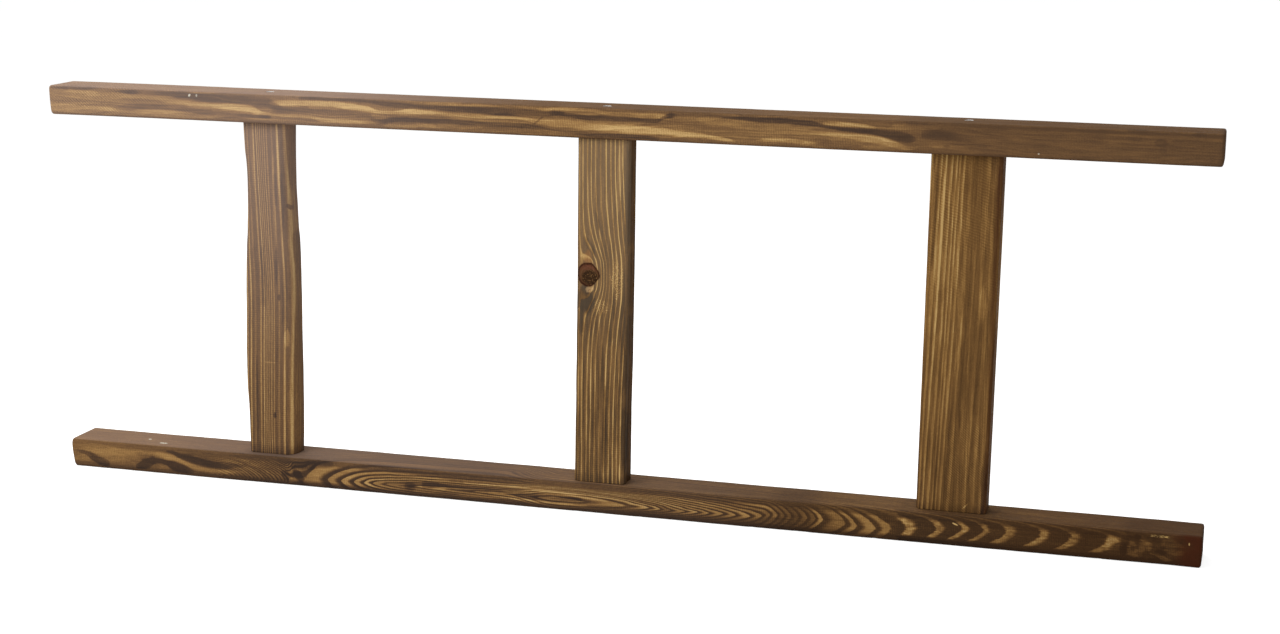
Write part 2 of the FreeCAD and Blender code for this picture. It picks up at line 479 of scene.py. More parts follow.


# %% [markdown]
# ## Stained pine
# Pine grows a pale, soft band in spring and a dark, hard one in summer. A dark stain turns this
# round: the soft bands drink it and go brown, and the hard ones stay tan. So each board is drawn
# as tan lines on brown, and the lines come from one idea: a board is cut from a trunk, and every
# point of it lies at some distance from the trunk's middle. That distance, counted in rings, is
# the pattern on every face at once: straight lines where the cut crosses the rings, long arrows
# and islands where it skims them, and arcs on the end grain.
#
# Flat noise would be quicker, but its pattern wouldn't turn the corners of the board.
#
# Each board then adds its own history: places where the stain lay thick or thin, a knot, ripple
# marks from the planer, and bare wood where an edge has chipped. Some light and shade is painted
# into the colour as well: a grey haze and sheen towards the left end and on the rails' top faces,
# a lighter top face on the lower rail and a darker one on the upper, lighter rung tops, a paler
# right side on the left rung and a darker one on the right rung, and shade along some edges, at
# the rungs' feet and partly over the upper rail's right third. All distances in these finishes
# are in millimetres: "along" is measured from the ladder's middle for a rail and from the ground
# for a rung, "across" from the middle of the board's front face, and "deep" back from that face.

# %% Pine finish
DEEP_BROWN = colour(42, 28, 17)
STAIN_BROWN = colour(72, 50, 28)
WARM_BROWN = colour(112, 80, 44)
TAN = colour(156, 118, 66)
PALE_TAN = colour(204, 168, 108)
BARE_WOOD = colour(214, 176, 108)
OLD_PAINT = colour(214, 208, 190)
# A pale grey laid over the wood: painted haze and sheen.
HAZE_GREY = colour(188, 168, 160)
RAIL_HEIGHT = 37.0
FRONT_SKIN = (9, 2)          # what belongs to the front face fades out between these depths
MARK_FADE = (22, 8)          # and so do the listed marks, a little further back
GRAIN_RELIEF = 0.3 * MM
PINE_GLOSS = 0.01            # the stain left the wood matt


def board_axes(graph, node, upright):
    """Distances in millimetres along the board, across its front face and back from that face."""
    low, high = box_mm(node)
    middle = (low + high) / 2
    x, y, z = [part * (1 / MM) for part in graph.parts(graph.position())]
    deep = y - low.y
    if upright:
        return z, x - middle.x, deep
    return x, z - middle.z, deep


def grain_noise(graph, axes, long, wide, shift=0.0, detail=2.0):
    """Noise about 0 that is drawn out along the grain."""
    along, across, deep = axes
    place = graph.vector(along / long + shift, across / wide, deep / wide)
    return graph.noise(place, detail=detail) - 0.5


def ring_lines(graph, rings, swell_start=0.25, seed=0.0, full=0.8, faintest=0.35):
    """Tan lines from a count of rings: each swells slowly and ends sharply, and some are faint."""
    count = rings.maths("FLOOR")
    part = rings - count
    swell = part.rise(swell_start, full) * part.rise(1.0, 0.9)
    return swell * (faintest + (1 - faintest) * graph.random(count + seed))


def spots(graph, axes, places, soft=0.5, ragged=1.0):
    """Soft patches listed one by one on the front face. Each is a lens with its middle along and
    across the board, its reach along and across, its lean, and its strength."""
    along, across, deep = axes
    fray = grain_noise(graph, axes, 22, 5, 5.0, 4.0) * ragged * 2.4
    total = None
    for place_along, place_across, reach_along, reach_across, lean, strength in places:
        x = (along - place_along) / reach_along
        y = (across - (place_across + lean * (along - place_along))) / reach_across
        spot = (x * x + y * y + fray).rise(1.0 + soft, 1.0 - soft) * strength
        total = spot if total is None else total.most(spot)
    return total * deep.rise(*MARK_FADE)


def bands(graph, axes, courses, soft=0.6):
    """Long soft bands listed one by one on the front face of a rail. Each follows a row of points,
    with the place along the rail, the height above its lower edge, the half width and the strength."""
    along, across, deep = axes
    fray = grain_noise(graph, axes, 30, 4, 5.0, 4.0) * 1.2
    total = None
    for course in courses:
        first, last = course[0][0], course[-1][0]
        held = along.most(first).least(last)
        height, half_width, strength = [
            graph.curve(held, first, last, [(point[0], point[i]) for point in course]) for i in (1, 2, 3)]
        beside = abs(across + RAIL_HEIGHT / 2 - height) / half_width.most(0.5) + fray
        band = beside.rise(1.0 + soft, 1.0 - soft) * strength.most(0)
        total = band if total is None else total.most(band)
    return total * deep.rise(*MARK_FADE)


def ripples(graph, axes, pitch, slant, where, wander=5.0):
    """The shallow scoops that a planer leaves, as stripes from -1 to 1, a pitch apart, that lean
    by slant. Stain settles in them, so they show as fine stripes that come and go."""
    along, across, deep = axes
    wobble = grain_noise(graph, axes, 30, 12, 6.0) * wander
    stripes = ((along + across * slant) * (2 * math.pi / pitch) + wobble).maths("SINE")
    patchy = grain_noise(graph, axes, 60, 16, 2.0).rise(-0.18, 0.12)
    return stripes * patchy * where * deep.rise(*FRONT_SKIN)


def rings_outwards(aside, deep, trunk_aside, trunk_behind):
    """How far a point lies outwards through the rings, from about 0 at the middle of the face,
    when the trunk's middle lies trunk_aside to one side and trunk_behind behind the face."""
    beside = aside + trunk_aside
    behind = deep - trunk_behind
    return (beside * beside + behind * behind) ** 0.5 - (trunk_aside + 0.5)


def pine(name, node, upright, build):
    """A stained pine finish. build works out the tone of the wood, where 0 is the darkest stain
    and 1 the palest, and how high the grain stands."""
    material, graph = blank_material(name)
    axes = board_axes(graph, node, upright)
    look = build(graph, axes)

    hairs = grain_noise(graph, axes, 26, 0.5, 0.0, 3.0)
    fibres = grain_noise(graph, axes, 22, 1.5, 8.0, 3.0)
    streaks = grain_noise(graph, axes, 120, 3.4, 4.0)
    clouds = grain_noise(graph, axes, 90, 30, 9.0, 3.0)
    mottle = grain_noise(graph, axes, 5, 4, 3.0, 2.0)
    fuzz = grain_noise(graph, axes, 2.2, 1.1, 6.0, 1.0)
    tone = look["tone"] + hairs * 0.2 + fibres * 0.28 + streaks * 0.2
    tone = tone + clouds * 0.14 + mottle * 0.1 + fuzz * 0.26

    # End grain drinks the most stain.
    normal = graph.node("ShaderNodeNewGeometry", None, None, "Normal")
    end_grain = abs(graph.parts(normal)[2 if upright else 0]).rise(0.75, 0.97)
    tone = tone - end_grain * 0.12

    wood = graph.node("ShaderNodeValToRGB", {"stops": [
        (0.0, DEEP_BROWN), (0.25, STAIN_BROWN), (0.5, WARM_BROWN), (0.74, TAN), (1.0, PALE_TAN)]},
        {"Fac": tone})
    for other, share in look.get("colours", []):
        wood = graph.colours(wood, other, share)
    pores = grain_noise(graph, axes, 9, 0.35, 7.0).rise(0.12, 0.24)
    wood = graph.colours(wood, DEEP_BROWN, pores * 0.3)

    height = look["height"] + fibres * 0.3 + hairs * 0.2 - pores * 0.3
    bump = graph.node("ShaderNodeBump", None, {"Strength": 0.5, "Distance": GRAIN_RELIEF, "Height": height})
    sheen = grain_noise(graph, axes, 60, 14, 2.0)
    roughness = (0.62 + sheen * 0.3 + end_grain * 0.15 - look["height"] * 0.05).least(0.92)
    shader = graph.node("ShaderNodeBsdfPrincipled", None, {
        "Base Color": wood, "Roughness": roughness, "Normal": bump, "Specular IOR Level": PINE_GLOSS})
    graph.node("ShaderNodeOutputMaterial", None, {"Surface": shader})
    return material


# %% [markdown]
# ## The lower rail
# This board skims the middle of a small trunk, and the pattern on its front is the liveliest
# part of the ladder. From the left there are broad dark islands, then arcs that open to the
# right, then long narrow loops, then a run of arrows pointing right that ends in separate tan
# flames. Two curves give the shapes: how far the trunk's middle lies behind the front face, and
# how high it lies. Where the first one shrinks the arcs open to the right, and where it grows
# they point right. Two more curves count the rings at each distance from the trunk's middle,
# one for each half of the board, because the tree grew at different speeds. What no rule gives
# is listed one by one: the dark inside of the islands, a few long bands and the patches near the
# right end.

# %% Lower rail finish
RAIL_REACH = 730
TRUNK_REACH = 160            # both counts of rings end this far from the trunk's middle
LOWER_PITH_DEPTH = [
    (-730, 15), (-560, 13), (-520, 12), (-500, 13.5), (-480, 17), (-460, 22.5), (-440, 28.5),
    (-420, 34), (-405, 38.5), (-390, 40.5), (-378, 38.5), (-365, 32.5), (-350, 28), (-332, 22.8),
    (-316, 18.9), (-300, 15.8), (-280, 13.2), (-260, 11.7), (-200, 9.7), (-100, 7.5), (-40, 7),
    (0, 8.9), (60, 13.7), (104, 17.3), (133, 19.8), (163, 22.4), (181, 23.9), (201, 25.6), (214, 27.2),
    (223, 29.4), (232, 32.4), (250, 37.6), (270, 42.6), (290, 47), (313, 51.6), (330, 54.8),
    (349, 58.2), (369, 61.5), (400, 66.4), (440, 72.2), (500, 80), (560, 87.2), (640, 95.9),
    (730, 104.9)]
LOWER_PITH_HEIGHT = [
    (-730, -8), (-500, -12), (-430, -14), (-395, -12), (-350, -7), (-280, -5.5), (-200, -4.5), (60, -5),
    (140, -5), (200, -4), (240, 0), (285, 0), (345, -4.5), (385, -1), (420, 1), (485, 6), (730, 6)]
SLOWEST_RING = 10.86         # the ring at the swirl, where the lines open up widest
SLOWEST_RADIUS = 39.5
CLOSE_RING_PITCH = 1.6       # left of the swirl the rings lie this close together
LEFT_RINGS = [
    (0, -1), (10.8, 4), (12.8, 5), (14.8, 6), (16.8, 7), (19.6, 8), (23.8, 9), (29.2, 10),
    (32.3, 10.45), (34.5, 10.62), (SLOWEST_RADIUS, SLOWEST_RING), (42, 11.1), (60, 17), (160, 40)]
RIGHT_RINGS = [
    (0, -2), (8.5, 1), (12.5, 2), (14.9, 3), (16.1, 4), (17.3, 5), (18.6, 6), (19.8, 7), (21.1, 8),
    (22.4, 9), (23.9, 10), (25.6, 11), (27.2, 12), (29.4, 13), (32.4, 14), (35.1, 15), (37.5, 16),
    (39.9, 17), (42.3, 18), (44.6, 19), (46.6, 20), (51.9, 21), (54.4, 22), (58.5, 23), (61.8, 24),
    (64.3, 24.25), (69.6, 25.25), (73.8, 26.25), (77.3, 27.25), (80.7, 28.25), (85.4, 29.25),
    (89.6, 30.25), (94, 31.25), (98.1, 32.25), (120, 37), (160, 45)]
LOWER_STAIN = [
    (-730, 0.1), (-640, 0.09), (-480, -0.1), (-320, -0.22), (-160, -0.19), (0, -0.12), (160, -0.17),
    (320, -0.11), (480, -0.08), (600, -0.17), (730, -0.23)]
LOWER_DARK_BANDS = [
    [(-716, 21, 1, 0), (-706, 21, 2, 0.2), (-694, 18.5, 3.2, 0.3), (-683, 13, 6, 0.34),
     (-672, 9, 6, 0.32), (-661, 6, 2, 0)],
    [(-624, 7, 2, 0), (-617, 8.5, 5, 0.3), (-605, 13, 7, 0.3), (-592, 17.5, 3.6, 0.3),
     (-580, 15.5, 3.6, 0.3), (-570, 12, 6, 0.3), (-556, 9, 6, 0.3), (-546, 7, 4, 0.2), (-539, 6, 2, 0)],
    [(-580, 31, 1, 0), (-572, 30, 2, 0.24), (-560, 26.5, 3.6, 0.28), (-540, 22, 5.6, 0.28),
     (-520, 18.8, 5.2, 0.28), (-500, 17.4, 4, 0.24), (-482, 19.3, 3, 0.18), (-462, 22, 1.4, 0)],
    [(-424, 29, 3, 0), (-405, 27.5, 4, 0.14), (-385, 28, 5, 0.26), (-365, 30, 4.4, 0.24),
     (-345, 32, 3, 0)],
    [(-226, 17, 3, 0), (-219, 17.3, 4.4, 0.26), (-208, 18, 4, 0.28), (-196, 17.8, 2.2, 0.26),
     (-180, 17.5, 1.4, 0.24), (-130, 17.6, 1.4, 0.24), (-108, 16, 1.6, 0.1), (-90, 14, 3.8, 0.18),
     (-60, 13.5, 4, 0.18), (-36, 14.5, 3.2, 0.28), (-26, 15.5, 3, 0.3), (-14, 16, 1.4, 0)],
]
LOWER_DARK = [
    (-411, -5, 6, 6, -0.3, 0.26), (-394, -4, 8, 7, -0.75, 0.3), (-241, -5.5, 7.5, 5.5, 0.0, 0.2),
    (-179, 5.5, 10, 1.8, -0.1, 0.14), (651, -1, 2.6, 3, 0.0, 0.18), (680, -3.5, 9, 3.2, 0.0, 0.22),
    (656, 12.5, 4, 2.6, 0.0, 0.3), (640, -3, 4, 9, 0.0, 0.14)]
LOWER_LIGHT_BANDS = [
    [(-640, 24, 7, 0.06), (-600, 26, 3, 0.1), (-580, 24, 4, 0.2), (-560, 20, 3, 0.18),
     (-545, 15, 4, 0.18), (-525, 11.5, 3.6, 0.18), (-500, 10.5, 3, 0.14), (-480, 11, 2, 0.08),
     (-465, 12, 1, 0)],
    [(-180, 8, 1, 0), (-150, 8, 1.4, 0.16), (-100, 9.4, 1.2, 0.14), (-60, 8.8, 1.3, 0.2),
     (-20, 9, 1.6, 0.16), (0, 12, 2, 0.14), (30, 13, 2.4, 0.1), (60, 13, 1, 0)],
    [(-285, 27, 0.8, 0), (-230, 26.6, 1.1, 0.12), (-150, 24.5, 1.2, 0.16), (-100, 24.5, 1.3, 0.18),
     (-50, 22.5, 1.5, 0.2), (-10, 19.5, 1.5, 0.18), (20, 17, 1, 0)],
]
LOWER_LIGHT = [
    (-660, 0, 40, 10, 0.0, 0.1), (-700, -7, 14, 4, 0.0, 0.1), (-584, -9.5, 9, 2.6, 0.0, 0.14),
    (-263, -6, 18, 3.4, 0.0, 0.14), (-226, -7, 14, 5, 0.0, 0.12), (-206, -7, 14, 3.4, 0.2, 0.14)]
RIGHT_END_LIGHT = [
    (651, -4, 6, 8, -0.4, 0.3), (661, 2, 4, 9, 0.6, 0.2), (668, 6, 9, 6, -0.5, 0.34),
    (681, -7.5, 12, 3, -0.35, 0.32), (696, 4, 12, 9, -0.3, 0.24), (630, 3, 12, 9, 0.3, 0.16)]


def lower_rail_look(graph, axes):
    along, across, deep = axes
    drift = grain_noise(graph, axes, 70, 14)
    fine_drift = grain_noise(graph, axes, 12, 4, 3.0)
    feather = grain_noise(graph, axes, 7, 1.3, 1.0, 3.0)
    left_end = along.rise(-485, -530)
    pith_depth = graph.curve(along, -RAIL_REACH, RAIL_REACH, LOWER_PITH_DEPTH)
    pith_height = graph.curve(along, -RAIL_REACH, RAIL_REACH, LOWER_PITH_HEIGHT)
    aside = abs(across - pith_height + drift * 3)
    wander = 0.7 - along.rise(50, 95) * 0.55 * along.rise(330, 290)
    behind = deep + pith_depth + drift * (1.6 + 18 * left_end) + fine_drift * wander
    radius = (aside * (aside + 8) + behind * behind) ** 0.5 + feather * (0.15 + 0.55 * along.rise(300, 380))
    left_rings = graph.curve(radius, 0, TRUNK_REACH, LEFT_RINGS)
    close_rings = (radius - SLOWEST_RADIUS) / CLOSE_RING_PITCH + SLOWEST_RING
    right_rings = graph.curve(radius, 0, TRUNK_REACH, RIGHT_RINGS)
    rings = left_rings.mix(close_rings, along.rise(-398, -412)).mix(right_rings, along.rise(-120, -50))

    # The flames on the right start sharply on their left side, so their count runs backwards.
    line = ring_lines(graph, rings, 0.2, 0.0, 0.6, 0.5)
    flames = along.rise(374, 380)
    flame = ring_lines(graph, 40.25 - rings, 0.54, 0.0, 0.76, 0.7)
    flame = flame * across.rise(-12, -8.5) * (0.84 + grain_noise(graph, axes, 9, 3, 11.0, 3.0) * 1.4)
    line = line.mix(flame, flames)

    front = deep.rise(*FRONT_SKIN)
    right_end = along.rise(632, 648)
    quiet = along.hump(-145, 110) * 0.22 + along.rise(-400, -418) * 0.4 + along.hump(252, 46) * 0.7
    quiet = quiet + left_end * 0.5 + right_end * 0.85
    below_tips = (across - pith_height).rise(0, -5) * along.rise(-60, 20) * along.rise(300, 220)
    band = across.rise(13.5, 9) * across.rise(-15, -9)
    clear = (1 - quiet.least(0.9)) * (0.35 + 0.65 * band.most(deep.rise(3, 9))) * (1 - below_tips * 0.6)
    line = line * clear * (0.5 + 0.5 * front)
    stain = graph.curve(along, -RAIL_REACH, RAIL_REACH, LOWER_STAIN)
    tone = 0.35 + stain + line * (0.66 + along.hump(-325, 60) * 0.12)
    tone = tone - across.rise(-8, -15) * front * (0.14 + 0.06 * flames)
    tone = tone - across.hump(12.5, 3.5) * flames * front * 0.08 - flames * front * 0.05
    tone = tone + (spots(graph, axes, LOWER_LIGHT, 0.5) - spots(graph, axes, LOWER_DARK, 0.4))
    tone = tone + spots(graph, axes, RIGHT_END_LIGHT, 0.8, 3.0)
    tone = tone + (bands(graph, axes, LOWER_LIGHT_BANDS) * 1.6 - bands(graph, axes, LOWER_DARK_BANDS, 0.3))
    # The top face is lighter than the front, more so towards the right end: painted light from above.
    on_top = across.rise(16.8, 18.2)
    tone = tone + on_top * (0.06 + 0.06 * along.rise(500, 720))
    ripple = ripples(graph, axes, 2.6, 0.1, band)

    patches = graph.noise(graph.vector(along / 11, across / 14, deep / 11), detail=3.0) - 0.5
    tone = tone + patches * right_end * front * 0.45
    red_end = (along + patches * 24).rise(690, 718) * front * (0.85 + patches)
    splinter = grain_noise(graph, axes, 3.2, 0.5).rise(-0.06, 0.08)
    chipped = along.hump(681, 13).rise(0, 0.3) * across.hump(15.2, 1.7).rise(0, 0.5) * deep.rise(5, 1)
    fleck_noise = grain_noise(graph, axes, 2, 1.6).rise(-0.1, 0.05)
    scratch = spots(graph, axes, [(445.5, 8.7, 3.2, 0.9, -0.35, 1.0), (714, 9.5, 0.8, 1.6, 0.0, 0.7)])
    behind_edge = across.rise(17, 18)
    top_flecks = along.hump(-591, 7) * deep.hump(15.5, 3) + along.hump(-617, 3) * deep.hump(28, 2.5)
    paint = (top_flecks * 3 * behind_edge * fleck_noise).least(1)
    # Painted haze and sheen: more grey towards the left end, most of all on the top face.
    painted_haze = 0.015 + along.rise(300, 100) * 0.03 + on_top * (0.03 + along.rise(300, -650) * 0.14)
    return {
        "tone": tone + ripple * 0.04, "height": line * 0.9 + ripple * 0.3,
        "colours": [(HAZE_GREY, painted_haze), (colour(92, 58, 24), along.rise(380, 640) * 0.22),
                    (colour(70, 34, 20), (red_end * 0.9).least(0.85)), (BARE_WOOD, chipped * splinter * 0.9),
                    (PALE_TAN, scratch.least(1)), (OLD_PAINT, paint)],
    }


# %% [markdown]
# ## The upper rail
# The upper rail was cut where the rings lie almost flat to the face, so they show as a few broad
# wavy bands. No rule gives their exact course, so the light and the dark ones follow rows of
# points that are listed one by one. Planer ripples cross them, slanted at the left and square in
# the middle, and the right third is evenly dark, partly from the stain and partly as painted shade.

# %% Upper rail finish
UPPER_LIGHT_BANDS = [
    [(-727, 12, 6, 0.1), (-700, 10, 4, 0.12), (-670, 10.5, 2.4, 0.16), (-640, 9.5, 2.4, 0.2),
     (-618, 7.5, 1.6, 0.1), (-600, 8, 3, 0.14), (-570, 9.5, 3.4, 0.2), (-545, 8, 3, 0.12),
     (-520, 7, 1.5, 0)],
    [(-727, 26, 6, 0.02), (-690, 27, 5, 0.08), (-640, 27, 4, 0.1), (-590, 27, 2.5, 0.14),
     (-560, 24, 3, 0.18), (-530, 21.5, 3, 0.22), (-500, 20, 3.5, 0.26), (-475, 19.5, 4.6, 0.32),
     (-455, 18, 4.8, 0.32), (-437, 14.5, 3.2, 0.28), (-425, 12.5, 1.6, 0.18), (-400, 12, 1.8, 0.24),
     (-370, 11.5, 1.8, 0.2), (-350, 8.5, 2.4, 0.24), (-320, 8, 2.2, 0.24), (-292, 7, 1.4, 0.1),
     (-270, 6, 1, 0), (-250, 5, 1.2, 0.1), (-222, 6.5, 2, 0.2), (-200, 6, 1.4, 0.1), (-180, 5, 1, 0)],
    [(-424, 27, 1, 0), (-412, 26.5, 3.4, 0.26), (-398, 27, 3.8, 0.34), (-375, 28, 3.2, 0.3),
     (-350, 28.5, 3.6, 0.34), (-320, 26.5, 3.6, 0.34), (-290, 23.5, 3.2, 0.34), (-268, 21, 1.6, 0.28),
     (-250, 22, 2.2, 0.3), (-230, 23.5, 3.6, 0.4), (-200, 23.5, 3, 0.24), (-170, 21.5, 3.4, 0.18),
     (-140, 21, 2.2, 0.24), (-100, 21, 1.8, 0.26), (-70, 18, 3.4, 0.18), (-30, 16.5, 4.4, 0.2),
     (0, 14.5, 4.6, 0.26), (40, 13.5, 4.8, 0.36), (80, 12.5, 4.2, 0.36), (110, 11, 3.5, 0.34),
     (140, 8.5, 2.4, 0.32), (165, 5.8, 1.4, 0.24), (182, 4, 0.6, 0), (200, 7, 1.5, 0.08),
     (222, 8.5, 2.6, 0.22), (250, 7.5, 2, 0.16), (270, 6.5, 1, 0)],
    [(125, 28, 2, 0), (160, 27, 5, 0.12), (200, 23, 4, 0.06), (250, 19.5, 2.6, 0.1),
     (285, 18, 2.6, 0.2), (320, 15.5, 3.5, 0.26), (345, 12.5, 4.2, 0.28), (365, 8, 3.2, 0.24),
     (378, 6, 2, 0.12), (390, 10, 1.5, 0.06), (408, 11, 3, 0.16), (428, 9.5, 3, 0.12),
     (445, 8, 1.5, 0)],
    [(274, 30, 1, 0), (288, 30, 2.4, 0.22), (312, 29.5, 2.8, 0.28), (333, 28, 1.6, 0.18),
     (345, 27, 1, 0), (362, 30, 3, 0.12), (378, 30, 2, 0.1), (392, 30, 1, 0)],
    [(-190, 33, 0.8, 0), (-170, 33.5, 1.1, 0.18), (-135, 33.8, 1, 0.18), (-110, 33, 0.8, 0.02),
     (-66, 32.5, 1.6, 0.12), (-50, 34, 1.6, 0.22), (-10, 34, 1.6, 0.18), (30, 30, 2.6, 0.12),
     (64, 30.5, 3, 0.2), (82, 31, 2, 0.16), (90, 31, 1, 0)],
    [(596, 30, 1, 0), (610, 31, 1.3, 0.14), (638, 30.6, 1.3, 0.12), (660, 30, 1, 0)],
]
UPPER_DARK_BANDS = [
    [(-727, 35, 1.5, 0), (-700, 35, 2, 0.24), (-680, 35, 2, 0.28), (-660, 35, 1.4, 0.16),
     (-640, 34, 1.2, 0.1), (-610, 32.5, 2.3, 0.28), (-596, 33, 1.2, 0.06), (-576, 32.5, 2.4, 0.26),
     (-540, 31.5, 3.8, 0.28), (-500, 29, 5.4, 0.24), (-460, 28.5, 6.4, 0.22), (-430, 27, 6, 0.18),
     (-415, 22, 5.5, 0.22), (-398, 18.5, 3.2, 0.18), (-370, 18.5, 2.8, 0.14), (-330, 18, 3, 0.1),
     (-290, 15.5, 3, 0.1), (-276, 9, 3, 0.18), (-264, 11.5, 3.4, 0.26), (-248, 12.8, 3.2, 0.32),
     (-215, 13, 3, 0.28), (-170, 13, 3, 0.18), (-120, 11.5, 2.8, 0.16), (-80, 11.5, 3, 0.18),
     (-40, 8, 2, 0.1), (0, 5, 2.2, 0.2), (50, 5, 2.2, 0.2), (80, 4, 1, 0)],
    [(-640, 11, 1, 0), (-610, 14, 3, 0.12), (-580, 15.5, 3.6, 0.14), (-545, 14.5, 3, 0.13),
     (-510, 11, 3, 0.12), (-470, 8.5, 2.6, 0.12), (-440, 9, 2, 0.2), (-428, 9, 2, 0.3),
     (-420, 9, 1, 0)],
    [(-385, 34, 1, 0), (-360, 34, 2, 0.24), (-310, 34, 1.6, 0.2), (-270, 31.5, 2.8, 0.2),
     (-220, 29, 3.2, 0.22), (-170, 28.5, 3.8, 0.26), (-120, 28, 4.4, 0.26), (-80, 27.5, 4.2, 0.2),
     (-60, 27.5, 3, 0.24), (-47, 28.5, 3, 0.4), (-34, 27.5, 2.4, 0.2), (0, 25, 3, 0.2),
     (40, 25.5, 2.8, 0.24), (70, 24.5, 2, 0.18), (82, 28, 2, 0.18), (91, 31.5, 2.6, 0.32),
     (103, 32.5, 1.5, 0.08), (150, 32.5, 1.4, 0.14), (190, 31.5, 2.4, 0.26), (230, 31, 3, 0.3),
     (260, 29.5, 2.8, 0.26), (280, 26.5, 2.2, 0.24), (300, 25, 2.8, 0.34), (330, 23.5, 3.2, 0.36),
     (355, 20, 5, 0.34), (370, 17.5, 5.6, 0.36), (380, 16.5, 3, 0.2), (385, 16, 1, 0)],
    [(389, 22, 3, 0), (395, 22.5, 4.4, 0.18), (412, 22.5, 5.4, 0.24), (430, 21.5, 4.6, 0.16),
     (452, 20, 3, 0)],
    [(-88, 10, 1, 0), (-80, 13, 1.4, 0.14), (-66, 24, 1.6, 0.16), (-56, 30, 1.6, 0.12),
     (-50, 32, 1, 0)],
]
UPPER_DARK = [
    (658, 6, 7, 4.5, 0.0, 0.16), (660, -2, 4, 5, 0.0, 0.08), (419, -8.5, 4, 1.6, 0.0, 0.16),
    (630, 17.5, 12, 2, 0.0, 0.14), (698, 16.5, 8, 2, 0.0, 0.18)]
# The stain's level along the rail. Its rise at the left end and its fall over the right third are partly real
# stain and partly painted light and shade.
UPPER_STAIN_AND_LIGHT = [
    (-730, 0.12), (-560, 0.08), (-400, 0.07), (-240, 0.06), (-80, 0.06), (80, 0.04), (240, 0.07),
    (330, 0.06), (420, -0.09), (730, -0.12)]


def upper_rail_look(graph, axes):
    along, across, deep = axes
    drift = grain_noise(graph, axes, 130, 15, 5.0)
    slow = grain_noise(graph, axes, 420, 40, 1.0)
    aside = across - 34
    behind = deep + 50 + drift * 22 + slow * 20
    radius = (aside * aside + behind * behind) ** 0.5
    line = ring_lines(graph, radius / 4.1 + 0.4, 0.2)

    front = deep.rise(*FRONT_SKIN)
    dark_third = along.rise(345, 430)
    left_ripples = ripples(graph, axes, 4.4, 1.2, along.rise(-480, -600), 2.0) * 1.7
    middle_ripples = ripples(graph, axes, 2.9, 0.1, along.rise(-430, -400) * (1 - dark_third * 0.7)) * 0.8
    ripple = left_ripples + middle_ripples
    tone = 0.43 + line * (0.14 - dark_third * 0.04) + graph.curve(along, -RAIL_REACH, RAIL_REACH, UPPER_STAIN_AND_LIGHT)
    # Darker along the lower edge of the front, and in a line under its upper edge from the middle rightwards:
    # painted shade.
    upper_crease_shade = across.hump(16, 3.5) * along.rise(-200, 200)
    tone = tone - across.rise(-14, -18) * front * 0.12 - upper_crease_shade * front * 0.12
    tone = tone + bands(graph, axes, UPPER_LIGHT_BANDS, 0.45) * 1.1
    tone = tone - bands(graph, axes, UPPER_DARK_BANDS, 0.45) * 1.25
    tone = tone + grain_noise(graph, axes, 34, 9, 14.0, 4.0) * (0.1 + dark_third * 0.25)
    # The last term darkens the final few millimetres at the right end: painted shade on the end face.
    tone = tone - spots(graph, axes, UPPER_DARK, 0.6) - along.rise(718, 725) * 0.12
    # The top face is darker than the front over the middle of the rail: painted shade.
    on_top = across.rise(16.8, 18.2)
    tone = tone - on_top * along.hump(-20, 620) * 0.12
    flecks = spots(graph, axes, [(-531.4, 13.2, 1.6, 1.5, 0.3, 1.0), (-521.7, 13.2, 1.2, 1.8, 0.0, 0.6),
                                 (523, -12.5, 1, 0.8, 0.0, 0.6)], 0.5, 0.8)
    golden = along.rise(250, 450) * 0.28
    # Painted haze and sheen: more grey towards the left end, most of all on the top face.
    painted_haze = 0.06 + along.rise(-40, -420) * (0.16 + on_top * 0.14)
    return {
        "tone": tone + ripple * 0.06, "height": line * 0.5 + ripple * 0.6,
        "colours": [(colour(112, 76, 30), golden), (HAZE_GREY, painted_haze), (OLD_PAINT, flecks.least(1) * 0.8)],
    }


# %% [markdown]
# ## The left rung
# Its face was cut across the rings, so they run straight up it as narrow tan lines, close
# together in the slow years and wide apart in the quick ones. They sway a little, as its wavy
# sides do.

# %% Left rung finish
LADDER_HEIGHT = 500
LEFT_SWAY = [
    (0, 0), (100, 1), (200, 3.3), (250, 4), (300, 2.8), (350, 1.2), (400, -0.6), (500, -3)]
LEFT_RUNG_RINGS = [
    (-60, -4), (-27, 0.75), (-21.5, 1.75), (-13.5, 2.75), (-9.2, 3.75), (-6.7, 4.75), (-4.2, 5.75),
    (-1.7, 6.75), (1.2, 7.75), (4.5, 8.75), (11.2, 9.75), (18.5, 10.75), (26.5, 11.75), (60, 16)]
LEFT_DARK = [
    (88, 6, 4, 2, 0.0, 0.36), (242, 15, 4, 2, 0.0, 0.28), (357, 28.5, 4, 2.4, -0.4, 0.4),
    (285, 12.5, 24, 2.6, 0.02, 0.2), (360, 20.5, 40, 3.2, 0.0, 0.14), (270, -6, 40, 4, 0.0, 0.1),
    (110, -18, 60, 1.6, 0.01, 0.16), (230, 22, 50, 3, 0.02, 0.12), (380, 13, 20, 2.4, 0.0, 0.16)]
LEFT_LIGHT = [
    (190, 24, 13, 3.4, 0.0, 0.22), (360, 11, 70, 2, 0.0, 0.14), (400, 18, 60, 2.2, -0.01, 0.14),
    (157, 1, 0.9, 9, 0.0, 0.16), (80, 26, 40, 4, 0.0, 0.1), (420, -17, 40, 3, -0.03, 0.12)]


